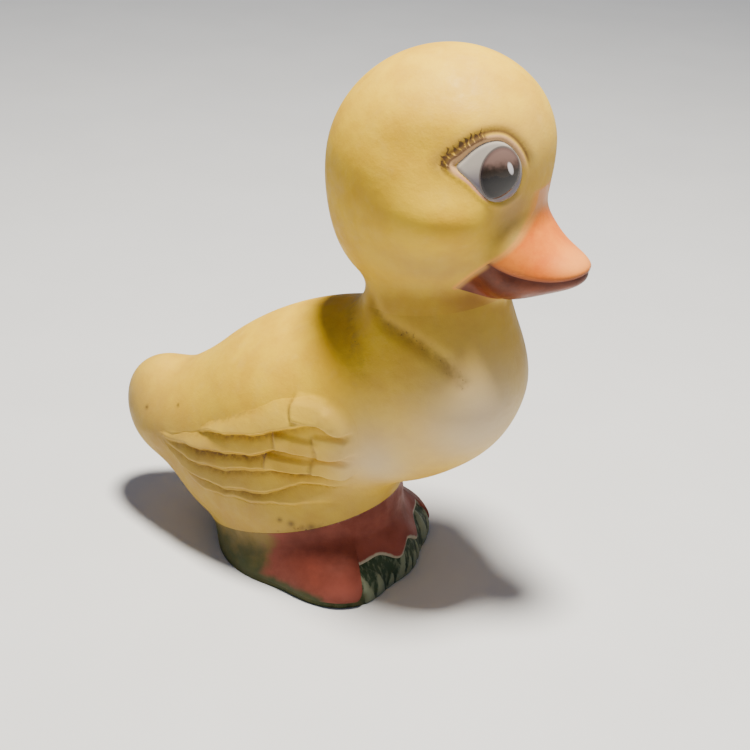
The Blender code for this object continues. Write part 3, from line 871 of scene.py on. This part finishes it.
def make_bill(figure, upper_cutter, lower_cutter):
    # the gape in each half: how deep and how wide it is, from the corner of the mouth forwards
    for name, cutter, node, depth, width in (
            ("upper_bill", upper_cutter, "bill_upper", 0.35, 0.5),
            ("lower_bill", lower_cutter, "bill_lower", 0.75, 1.6)):
        mesh = combined(figure.copy(), cutter, "INTERSECT")
        points = vertex_points(mesh)
        slope = unit_slope(points, whole_distance)
        inset = depth * bell(mouth_gap(points), width) * ease(points[:, 0], 38.0, 42.0)
        on_skin = np.abs(whole_distance(points)) < 0.2
        set_points(mesh, points - (inset * on_skin)[:, None] * slope)
        points = vertex_points(mesh)
        store_masks(mesh, edge=face_edge_gap(points), mouth=bell(mouth_gap(points), 0.7),
                    tip=0.8 * ease(points[:, 0], 47.0, 55.0) * ease(points[:, 2], 86.0, 89.0))
        paint = bill_paint(name + "_paint", name == "lower_bill")
        piece(name, mesh, paint, node)


# ---- head, body and base skins -----------------------------------------------
def head_masks(mesh):
    points = vertex_points(mesh)
    right = mirrored(points)
    gap, turn = lid_masks(points)
    upper, fan, lower = lid_parts(turn)
    in_front = (np.abs(points[:, 1]) < 14.5) & (points[:, 0] > 26.0)
    # where shade is painted on the head: the hollow between the eye and the bill, under the jaw and along
    # the bottom of the head
    hollow = blob(right, (42.5, -11.0, 100.0), (5.0, 5.5, 7.5))
    jaw = blob(right, (28.0, -17.0, 87.0), (15.0, 10.0, 7.0))
    nape = 1.0 - ease(points[:, 2], 72.0, 84.0)
    throat = blob(right, (33.0, -6.0, 79.0), (6.0, 9.0, 3.5))
    brow = blob(right, (44.0, -6.0, 114.0), (9.0, 12.0, 9.0))
    store_masks(mesh, lid=gap, turn=turn, upper=upper, fan=fan, lower=lower,
                edge=np.where(in_front, face_edge_gap(points), FAR),
                shade=np.clip(0.6 * hollow + 0.3 * jaw + 0.2 * nape, 0.0, 0.7),
                throat=0.75 * throat, cream=0.3 * brow)


def pit_mask(points):
    right = mirrored(points)
    mask = np.zeros(len(points))
    for place, reach in PITS:
        mask = np.maximum(mask, blob(right, place, reach))
    return mask


def store_coat_masks(mesh, points):
    """Where the body is a greyed cream, partly its paint and partly painted shade, and the soft brown
    painted shade low on it and round the neck.
    """
    right = mirrored(points)
    # the breast and the flank in front of the wing: a greyed cream, partly the paint's own cream and partly
    # painted shade
    breast = blob(right, (38.0, -10.0, 53.0), (13.0, 17.0, 15.0))
    flank = blob(right, (17.0, -18.0, 36.0), (9.0, 9.0, 14.0))
    x, _, z = points.T
    # painted shade: brown low on the body, and a little round the neck under the head
    low = 0.5 * (1.0 - ease(z + 0.25 * x, 13.0, 38.0))
    store_masks(mesh, pale=np.clip(0.85 * breast + 0.75 * flank, 0.0, 0.9),
                low=np.maximum(low, 0.25 * ease(z, 64.0, 76.0)))


def over_ankle(points):
    """Height of points over the join between the body and the base."""
    return (points - np.array(ANKLE_POINT)) @ np.array(tilted_normal(ANKLE_TILT))


def body_masks(mesh):
    points = vertex_points(mesh)
    right = mirrored(points)
    front, back = group_distance(points, FRONT), group_distance(points, BACK)
    valley = 0.5 * bell(front - back, 1.8) * ease(points[:, 2], 56.0, 62.0)
    breast = blob(right, (40.0, -8.0, 50.0), (12.0, 16.0, 8.0))
    tail = blob(right, (-57.0, -2.0, 30.0), (7.0, 9.0, 6.0))
    ankle = blob(right, (-1.0, -19.0, 17.0), (6.0, 6.0, 6.0))
    store_masks(mesh, crease=np.maximum(valley, bell(crease_reach(points), 1.1)),
                pits=pit_mask(points))
    store_coat_masks(mesh, points)
    store_masks(mesh, cream=0.8 * breast + 0.5 * tail, join=bell(over_ankle(points), 1.0) * ankle)


BASE_MIDDLE_X = -6.0
BLADES = 46                        # painted grass blades round the whole base
BLADE_CARVING = 0.5                # how deep the blades are carved, in millimetres


def blade_shape(points):
    """0 in the gaps between painted grass blades and 1 on a blade, which narrows to its tip."""
    x, y, z = points.T
    turn = np.arctan2(y, x - BASE_MIDDLE_X)
    lean = 0.012 * z * np.sin(turn * 7.0)
    place = (turn + lean) * BLADES / (2.0 * math.pi)
    number = np.floor(place)
    top = 6.5 + 3.0 * np.sin(number * 2.4) + 1.5 * np.sin(number * 5.1)
    width = 0.46 * np.clip(1.0 - z / top, 0.0, 1.0) ** 0.6
    return np.clip((width - np.abs(place - number - 0.5)) / 0.16, 0.0, 1.0)


def make_base(base, hollow):
    """Carves the grass into the front of the base, and bores it for the squeaker."""
    points = vertex_points(base)
    x, _, z = points.T
    wall = ease(x, 7.0, 12.0) * ease(z, 0.05, 0.6) * (1.0 - ease(z, 9.0, 11.0))
    carve = BLADE_CARVING * (blade_shape(points) - 0.6) * wall
    set_points(base, points + carve[:, None] * unit_slope(points, ground_distance))
    base = combined(base, hollow, "DIFFERENCE")
    seat_radius, seat_depth = FLANGE_SEAT
    seat = turned_mesh([(seat_radius, -1.0), (seat_radius, seat_depth), (BORE_RADIUS, seat_depth),
                        (BORE_RADIUS, BASE_FLOOR + 4.0)], SQUEAKER_X)
    base = combined(base, seat, "DIFFERENCE")
    points = vertex_points(base)
    x, y, z = points.T
    under_toe = ease(np.abs(y), 17.0, 19.5) * (1.0 - ease(z, 2.5, 4.5))
    store_masks(base, blade=blade_shape(points), front=ease(x, 4.0, 9.0) * (1.0 - under_toe))
    piece("grass_mound", base, grass_paint(), "grass_base")


def make_figure():
    """The skin of the whole figure, cut into head, bill, body and base round one hollow."""
    shell = [*SKULL.values(), *FRONT.values(), *BACK.values()]
    figure = melted_mesh(shell + [*TOES.values(), *BILL.values()], whole_distance, 0.0, FINE)
    points = vertex_points(figure)
    normals = unit_slope(points, whole_distance)
    set_points(figure, points + lid_relief(points)[:, None] * normals)
    hollow = melted_mesh(shell, skin_distance, -WALL, HOLLOW_GRAIN)
    hollow = sliced(hollow, (0.0, 0.0, BASE_FLOOR), (0.0, 0.0, -1.0))
    neck, ankle = tilted_normal(NECK_TILT), tilted_normal(ANKLE_TILT)
    whole_bill, upper_bill, lower_bill = bill_prisms()
    head = sliced(figure, NECK_POINT, -neck)
    make_bill(head, upper_bill, lower_bill)
    head = combined(combined(head, whole_bill, "DIFFERENCE"), hollow.copy(), "DIFFERENCE")
    head_masks(head)
    piece("head_skin", head, head_paint(), "head_shell")
    body = sliced(sliced(figure, NECK_POINT, neck), ANKLE_POINT, -ankle)
    body = combined(body, hollow.copy(), "DIFFERENCE")
    body_masks(body)
    piece("body_skin", body, body_paint(), "body_shell")
    base = sliced(sliced(figure, ANKLE_POINT, ankle), (0.0, 0.0, 0.0), (0.0, 0.0, -1.0))
    make_base(base, hollow)


# ---- eyes --------------------------------------------------------------------
GLINT_PLACE, GLINT_RADII, GLINT_LEAN = (2.2, 0.9), (0.62, 1.35), 0.35
EYE_DEPTH, IRIS_DEPTH = 1.3, 0.4   # how far the white and the iris reach down
EYE_GRID, IRIS_GRID = (150, 34), (120, 30)        # points round the rim, and rings


def iris_outline(count):
    turns = 2.0 * math.pi * np.arange(count) / count
    lean = math.radians(-IRIS_LEAN)
    u, v = IRIS_RADII[0] * np.cos(turns), IRIS_RADII[1] * np.sin(turns)
    return IRIS_CENTRE + np.stack([u * math.cos(lean) - v * math.sin(lean),
                                   u * math.sin(lean) + v * math.cos(lean)], -1)


def iris_ring(plane):
    """0 at the middle of the iris and 1 on its rim."""
    lean = math.radians(IRIS_LEAN)
    offset = plane - IRIS_CENTRE
    u = offset[..., 0] * math.cos(lean) - offset[..., 1] * math.sin(lean)
    v = offset[..., 0] * math.sin(lean) + offset[..., 1] * math.cos(lean)
    return np.hypot(u / IRIS_RADII[0], v / IRIS_RADII[1])


def eye_grid(plane):
    """Points on the skin, their normals and their distance outside the eye's outline."""
    flat = EYE_CENTRE + plane[..., :1] * EYE_FORWARD + plane[..., 1:] * EYE_UP
    surface = on_surface(flat, skin_distance, 14)
    gap = outline_distance(plane.reshape(-1, 2), EYE_OUTLINE).reshape(plane.shape[:2])
    return surface, unit_slope(surface, skin_distance), gap


def eyeball_lift(plane, gap):
    """The eyeball bulges under the iris and sinks towards the lids."""
    return 0.75 * blob(plane, IRIS_CENTRE, (6.0, 6.5)) - 0.15 - 0.35 * bell(gap, 0.5)


def store_eye_masks(mesh, plane, gap):
    across, rise = plane[..., 0], plane[..., 1]
    glint_x, glint_rise = GLINT_PLACE
    lean = GLINT_LEAN * (glint_rise - rise)
    glint = np.hypot((across - glint_x - lean) / GLINT_RADII[0], (rise - glint_rise) / GLINT_RADII[1])
    store_layers(mesh, wrap=True, rise=rise, ring=iris_ring(plane), lid=gap, glint=glint)


def make_eyes():
    plane = polar_grid(resampled(EYE_OUTLINE, EYE_GRID[0]), IRIS_CENTRE, EYE_GRID[1])
    surface, normal, gap = eye_grid(plane)
    top = surface + eyeball_lift(plane, gap)[..., None] * normal
    bottom = surface - EYE_DEPTH * normal
    eyeball = ("eyeball", top, bottom, plane, gap, eye_white_paint(), "eye_white", "eye_white")
    plane = polar_grid(iris_outline(IRIS_GRID[0]), IRIS_CENTRE, IRIS_GRID[1])
    surface, normal, gap = eye_grid(plane)
    lift, ring = eyeball_lift(plane, gap), iris_ring(plane)
    dome = 0.10 + 0.30 * (1.0 - ring ** 2) - 0.10 * ease(ring, 0.94, 1.0)
    top = surface + (lift + dome)[..., None] * normal
    bottom = surface + (lift - IRIS_DEPTH)[..., None] * normal
    cornea = ("cornea", top, bottom, plane, gap, iris_paint(), "iris_dark", "iris")
    for side, mirror in SIDES:
        for name, top, bottom, plane, gap, paint, slot, node in (eyeball, cornea):
            mesh = sheet_solid(top * mirror, bottom * mirror, wrap=True)
            store_eye_masks(mesh, plane, gap)
            piece(side + "_" + name, mesh, paint, side + "_" + node)


# ---- wings -------------------------------------------------------------------
# the furrows between the rows of feathers, from rear to front, as X and Z on the side of the body
FURROWS = [
    [(-36.0, 31.0), (-30.5, 33.4), (-27.1, 36.4), (-22.7, 39.4), (-11.6, 46.2), (-3.0, 51.0), (14.0, 56.0)],
    [(-37.0, 29.8), (-28.3, 33.9), (-19.6, 36.8), (-11.8, 39.4), (-6.2, 41.9), (-1.5, 44.2), (4.1, 45.6),
     (8.7, 44.0), (14.0, 46.0)],
    [(-41.6, 27.9), (-37.0, 28.0), (-32.3, 28.9), (-28.0, 29.5), (-20.5, 31.7), (-12.7, 33.7), (-8.4, 35.8),
     (-4.1, 37.4), (1.0, 37.2), (6.4, 37.0), (14.0, 40.0)],
    [(-42.0, 27.4), (-38.7, 26.6), (-34.7, 25.6), (-30.3, 25.2), (-25.7, 25.9), (-20.5, 27.1),
     (-8.5, 31.0), (1.5, 31.9), (9.5, 31.5), (14.0, 34.0)],
    [(-42.0, 27.0), (-34.5, 22.0), (-32.4, 21.3), (-26.7, 21.4), (-20.4, 22.0), (-13.7, 23.6), (-7.6, 24.8),
     (-2.0, 28.0), (1.5, 28.6), (14.0, 27.5)],
    [(-42.0, 26.0), (-30.0, 18.8), (-21.0, 19.6), (-16.8, 20.5), (-13.7, 20.6), (-8.3, 21.7), (1.1, 23.4),
     (8.9, 24.0), (14.0, 25.0)],
]
WING_OUTLINE = smooth_curve([(13.5, 45.0), (11.0, 50.5), (4.5, 54.0), (-2.5, 53.2), (-10.0, 49.6),
                             (-20.0, 42.8), (-30.0, 35.6), (-38.0, 30.6), (-43.0, 27.6), (-39.5, 24.0),
                             (-33.5, 20.2), (-26.0, 18.4), (-16.0, 18.6), (-6.0, 19.8), (3.0, 21.8),
                             (9.5, 26.0), (13.0, 34.0)], closed=True)
COVERTS = [(-6.6, 2.6, 37.6, 41.9), (3.2, 11.5, 37.4, 43.4), (2.2, 10.5, 31.6, 36.4),
           (-8.6, 1.2, 31.6, 35.6), (-2.3, 6.0, 46.0, 53.0)]   # short feathers: rear, front, low, high
FEATHER_HEIGHT = 1.35
COVERT_STEP = 0.6
SHOULDER_X, SHOULDER_Z = 8.6, 48.0        # the middle of the round covert at the shoulder
WING_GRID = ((420, 80))
WING_MIDDLE = np.array((-10.0, 35.0))
WING_DEPTH = 0.7                          # how far the feathers reach below the skin
# the brown below each row of feathers, partly a wash and partly painted shade: where it is darkest along X,
# how far it reaches and how strong it is
WASHES_AND_SHADE = [(-20.0, 12.0, 0.5), (-14.0, 16.0, 0.8), (-19.0, 16.0, 1.1), (-14.0, 22.0, 0.8),
          (-14.0, 12.0, 0.6)]


def feather_relief(plane):
    """Height of the feathers, and their brown in the furrows and along the short feathers' edges (partly a
    wash, partly painted shade), at X and Z places on the side of the body.
    """
    x, z = plane[:, 0], plane[:, 1]
    wobble = 0.16 * np.sin(x * 0.7) + 0.07 * np.sin(x * 1.7 + 1.0)
    levels = [np.interp(x, *smooth_curve(furrow).T) + wobble for furrow in FURROWS]
    height = np.zeros(len(x))
    wash = np.zeros(len(x))
    for number, (upper, lower) in enumerate(zip(levels, levels[1:])):
        width = np.maximum(upper - lower, 0.05)
        share = (upper - z) / width
        inside = (share >= 0.0) & (share < 1.0)
        drop = ease((1.0 - share) * width, -0.1, 1.1)
        shingle = (0.1 + 0.9 * np.clip(share, 0.0, 1.0) ** 0.9) * drop
        size = FEATHER_HEIGHT * np.clip(width / 3.5, 0.2, 1.1) * (1.0 if number < 3 else 0.7)
        height = np.where(inside, size * shingle, height)
        # the brown is darkest just below the furrow above each row and along the row's lower edge: partly a
        # wash, partly painted shade
        dark = 1.1 * bell(share * width, 1.3) + bell((1.0 - share) * width, 0.5)
        place, reach, strength = WASHES_AND_SHADE[number]
        strength = strength * bell(x - place, reach)
        wash = np.where(inside, strength * dark * np.clip(width / 1.5, 0.3, 1.0), wash)
    for rear, front, low, high in COVERTS:
        rear = rear + 0.4 * np.sin(z * 0.7 + low)
        across = ease(x, rear - 0.4, rear + 0.8) * (1.0 - ease(x, front - 1.0, front + 3.0))
        along = ease(z, low - 0.4, low + 0.7) * (1.0 - ease(z, high - 0.8, high + 0.6))
        height = height + COVERT_STEP * across * along
        wash = wash + 0.55 * bell(x - rear, 0.5) * along
        wash = wash + 0.45 * bell(z - low, 0.5) * across
    radius = np.hypot(x - SHOULDER_X, (z - SHOULDER_Z) * 1.05)
    height = height + 0.55 * (1.0 - ease(radius, 2.6, 4.6)) * ease(54.0 - z, 0.0, 5.0)
    wash = wash + 0.25 * bell(radius - 4.2, 0.5) * ease(47.5 - z, 0.0, 2.0)
    inner = -outline_distance(plane, WING_OUTLINE)
    front = ease(x, -14.0, 4.0)
    fade = ease(inner, 0.0, 1.2 + 3.0 * front)
    furrow_cut = -0.3 * np.clip(wash, 0.0, 1.0)
    return (height + furrow_cut) * fade + 0.03, np.clip(wash, 0.0, 1.0) * fade


def side_surface(plane):
    """Points on the right side of the body at X and Z places."""
    points = np.stack([plane[..., 0], np.full(plane.shape[:-1], -21.0), plane[..., 1]], -1)
    for _ in range(40):
        points[..., 1] += 0.8 * skin_distance(points)
    return points


def make_wings():
    paint = feather_paint()
    columns, rows = WING_GRID
    plane = polar_grid(resampled(WING_OUTLINE, columns), WING_MIDDLE, rows, 0.85)
    surface = side_surface(plane)
    normal = unit_slope(surface, skin_distance)
    relief, wash = (values.reshape(plane.shape[:2]) for values in feather_relief(plane.reshape(-1, 2)))
    top = surface + relief[..., None] * normal
    bottom = surface - WING_DEPTH * normal
    cream = 0.15 * np.clip(relief, 0.0, 1.0)
    for side, mirror in SIDES:
        mesh = sheet_solid(top * mirror, bottom * mirror, wrap=True)
        store_layers(mesh, wrap=True, wash=wash, cream=cream)
        store_coat_masks(mesh, vertex_points(mesh))
        piece(side + "_feathers", mesh, paint, side + "_wing", 70.0)


# ---- webbed feet -------------------------------------------------------------
FOOT_CENTRE = np.array((-2.0, 0.0, 3.0))
FOOT_REAR_TURN = 118.0             # degrees from the nose to the foot's soft rear edge
FOOT_HEIGHT = 0.55
FOOT_DEPTH = 0.6                   # how far the feet reach below the surface of the base
FOOT_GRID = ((260, 240, 60))
WEB_HEM, REAR_HEM = 8.8, 1.4       # height of the lower edge between the toes and behind them


def foot_hem(points):
    """Height of the foot's lower edge: low on the three toes and high on the webs between them."""
    y = np.abs(points[..., 1])
    toe_side = ease(y, 17.0, 20.5)
    toe_inner = bell(y - 5.0, 3.0)
    front = ease(points[..., 0], 6.0, 11.0)
    scalloped = WEB_HEM - 7.2 * toe_side - 2.7 * toe_inner
    return REAR_HEM + front * (scalloped - REAR_HEM)


def foot_rays(turns, rises):
    """Where rays from inside the base meet its surface."""
    turn, rise = np.meshgrid(turns, rises, indexing="ij")
    way = np.stack([np.cos(turn) * np.cos(rise), np.sin(turn) * np.cos(rise), np.sin(rise)], -1)
    reach = np.full(turn.shape, 16.0)
    for _ in range(40):
        points = FOOT_CENTRE + reach[..., None] * way
        reach = reach - 0.7 * ground_distance(points)
    return FOOT_CENTRE + reach[..., None] * way


def make_feet():
    paint = web_paint()
    columns, samples, rows = FOOT_GRID
    turns = np.radians(np.linspace(-FOOT_REAR_TURN, 0.0, columns))
    rises = np.radians(np.linspace(-12.0, 80.0, samples))
    rays = foot_rays(turns, rises)
    above = over_ankle(rays)
    over_hem = rays[..., 2] - foot_hem(rays)
    grid = np.empty((rows + 1, columns, 3))
    for column in range(columns):
        low = np.interp(0.0, np.maximum.accumulate(over_hem[column]), rises)
        high = np.interp(0.0, np.maximum.accumulate(above[column]), rises)
        places = low + (high - low) * np.linspace(0.0, 1.0, rows + 1) ** 1.2
        for axis in range(3):
            grid[:, column, axis] = np.interp(places, rises, rays[column, :, axis])
    grid = on_surface(grid, ground_distance, 4)
    grid[:, -1, 1] = 0.0
    outward = unit_slope(grid, ground_distance)
    outward[:, -1, 1] = 0.0
    from_hem = np.linalg.norm(np.diff(grid, axis=0, prepend=grid[:1]), axis=-1).cumsum(0)
    from_join = from_hem[-1:] - from_hem
    from_rear = np.degrees(turns)[None] + FOOT_REAR_TURN
    front = ease(grid[..., 0], 6.0, 12.0)
    rounded = np.sqrt(1.0 - (1.0 - np.clip(from_hem / 1.1, 0.0, 1.0)) ** 2)
    body_edge = ease(from_join, 0.0, 3.0)
    rear_edge = ease(from_rear, 0.0, 14.0)
    lift = 0.04 + FOOT_HEIGHT * (0.25 + 0.75 * front) * rounded * body_edge * rear_edge
    top = grid + lift[..., None] * outward
    bottom = grid - FOOT_DEPTH * outward
    rim = bell(from_hem, 0.9) * front * (1.0 - ease(np.abs(grid[..., 1]), 16.5, 19.5))
    rim = np.maximum(rim, 0.5 * bell(from_join, 0.6) * ease(grid[..., 0], 2.0, 6.0))
    hem = np.maximum((1.0 - front) * bell(from_hem, 2.0), 1.0 - ease(from_rear, 2.0, 26.0))
    # painted highlight along the front toes, a little above their lower edge
    toe = 0.7 * front * bell(from_hem - 3.0, 2.5)
    for side, mirror in SIDES:
        mesh = sheet_solid(top * mirror, bottom * mirror)
        store_layers(mesh, rim=rim, hem=hem, toe=toe)
        store_masks(mesh, pits=pit_mask(vertex_points(mesh)))
        piece(side + "_web", mesh, paint, side + "_foot")


def paint_squeaker():
    """Paints the squeaker's CAD pieces, which are shown as they are."""
    ivory = plastic_paint("ivory_plastic", "D8CFB4", "C6BA98")
    dark = plastic_paint("dark_plastic", "4A4640", "38352F")
    brass = brass_metal()
    for name, paint in (("housing", ivory), ("reed_plate", dark), ("reed", brass),
                        ("reed_clamp", dark), ("cap", ivory)):
        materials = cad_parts["squeaker_" + name].data.materials
        materials.clear()
        materials.append(paint)


# ---- floor, light and camera -------------------------------------------------
VIEW_BEARING, VIEW_RISE, VIEW_ROLL = 24.0, 27.0, 3.0
VIEW_DISTANCE = 320.0
VIEW_TARGET = (20.0, -24.2, 63.9)
LENS = 72.2
LIGHT_BEARING, LIGHT_RISE = 20.0, 84.0           # from +X towards -Y, and up
KEY_TARGET = Vector((0.0, 0.0, 0.065))            # metres, like the next two
KEY_DISTANCE = 0.6
KEY_SIZE = 0.12
KEY_POWER, KEY_COLOUR = 13.0, (1.0, 0.95, 0.86)
SKY_STRENGTH, SKY_COLOUR = 0.24, (0.55, 0.68, 1.0, 1.0)
FLOOR_SIZE = 3.0                                  # metres, from the middle to an edge
FLOOR_GREYS = (0.66, 0.66, 0.65), (0.68, 0.68, 0.67)


def make_stage():
    bm = bmesh.new()
    bmesh.ops.create_grid(bm, x_segments=1, y_segments=1, size=FLOOR_SIZE)
    floor = new_object("floor", mesh_from(bm))
    paint = Paint("pale_floor", 0.7)
    paint.coat = paint.mix(paint.patches(40.0, 3.0, 0.5), *FLOOR_GREYS)
    floor.data.materials.append(paint.finish())
    world = bpy.data.worlds.new("studio")
    bpy.context.scene.world = world
    world.use_nodes = True
    background = world.node_tree.nodes["Background"]
    background.inputs["Color"].default_value = SKY_COLOUR
    background.inputs["Strength"].default_value = SKY_STRENGTH
    bearing, rise = math.radians(LIGHT_BEARING), math.radians(LIGHT_RISE)
    way = Vector((math.cos(bearing) * math.cos(rise), -math.sin(bearing) * math.cos(rise),
                  math.sin(rise)))
    light = bpy.data.lights.new("key", "AREA")
    light.shape = "DISK"
    light.size = KEY_SIZE
    light.energy = KEY_POWER
    light.color = KEY_COLOUR
    key = new_object("key", light)
    key.location = KEY_TARGET + way * KEY_DISTANCE
    key.rotation_euler = (KEY_TARGET - key.location).to_track_quat("-Z", "Y").to_euler()


def make_camera():
    bearing, rise = math.radians(VIEW_BEARING), math.radians(VIEW_RISE)
    back = Vector((math.sin(bearing) * math.cos(rise), -math.cos(bearing) * math.cos(rise),
                   math.sin(rise)))
    level = Vector((math.cos(bearing), math.sin(bearing), 0.0))
    upright = back.cross(level)
    roll = math.radians(VIEW_ROLL)
    right = level * math.cos(roll) + upright * math.sin(roll)
    up = upright * math.cos(roll) - level * math.sin(roll)
    camera = new_object("camera", bpy.data.cameras.new("camera"))
    rotation = Matrix((right, up, back)).transposed()
    camera.matrix_world = (Matrix.Translation((Vector(VIEW_TARGET) + back * VIEW_DISTANCE) * MM)
                           @ rotation.to_4x4())
    camera.data.lens = LENS
    camera.data.sensor_width = 36.0
    camera.data.clip_start = 0.01
    bpy.context.scene.camera = camera


make_camera()
make_figure()
make_eyes()
make_wings()
make_feet()
paint_squeaker()
make_stage()
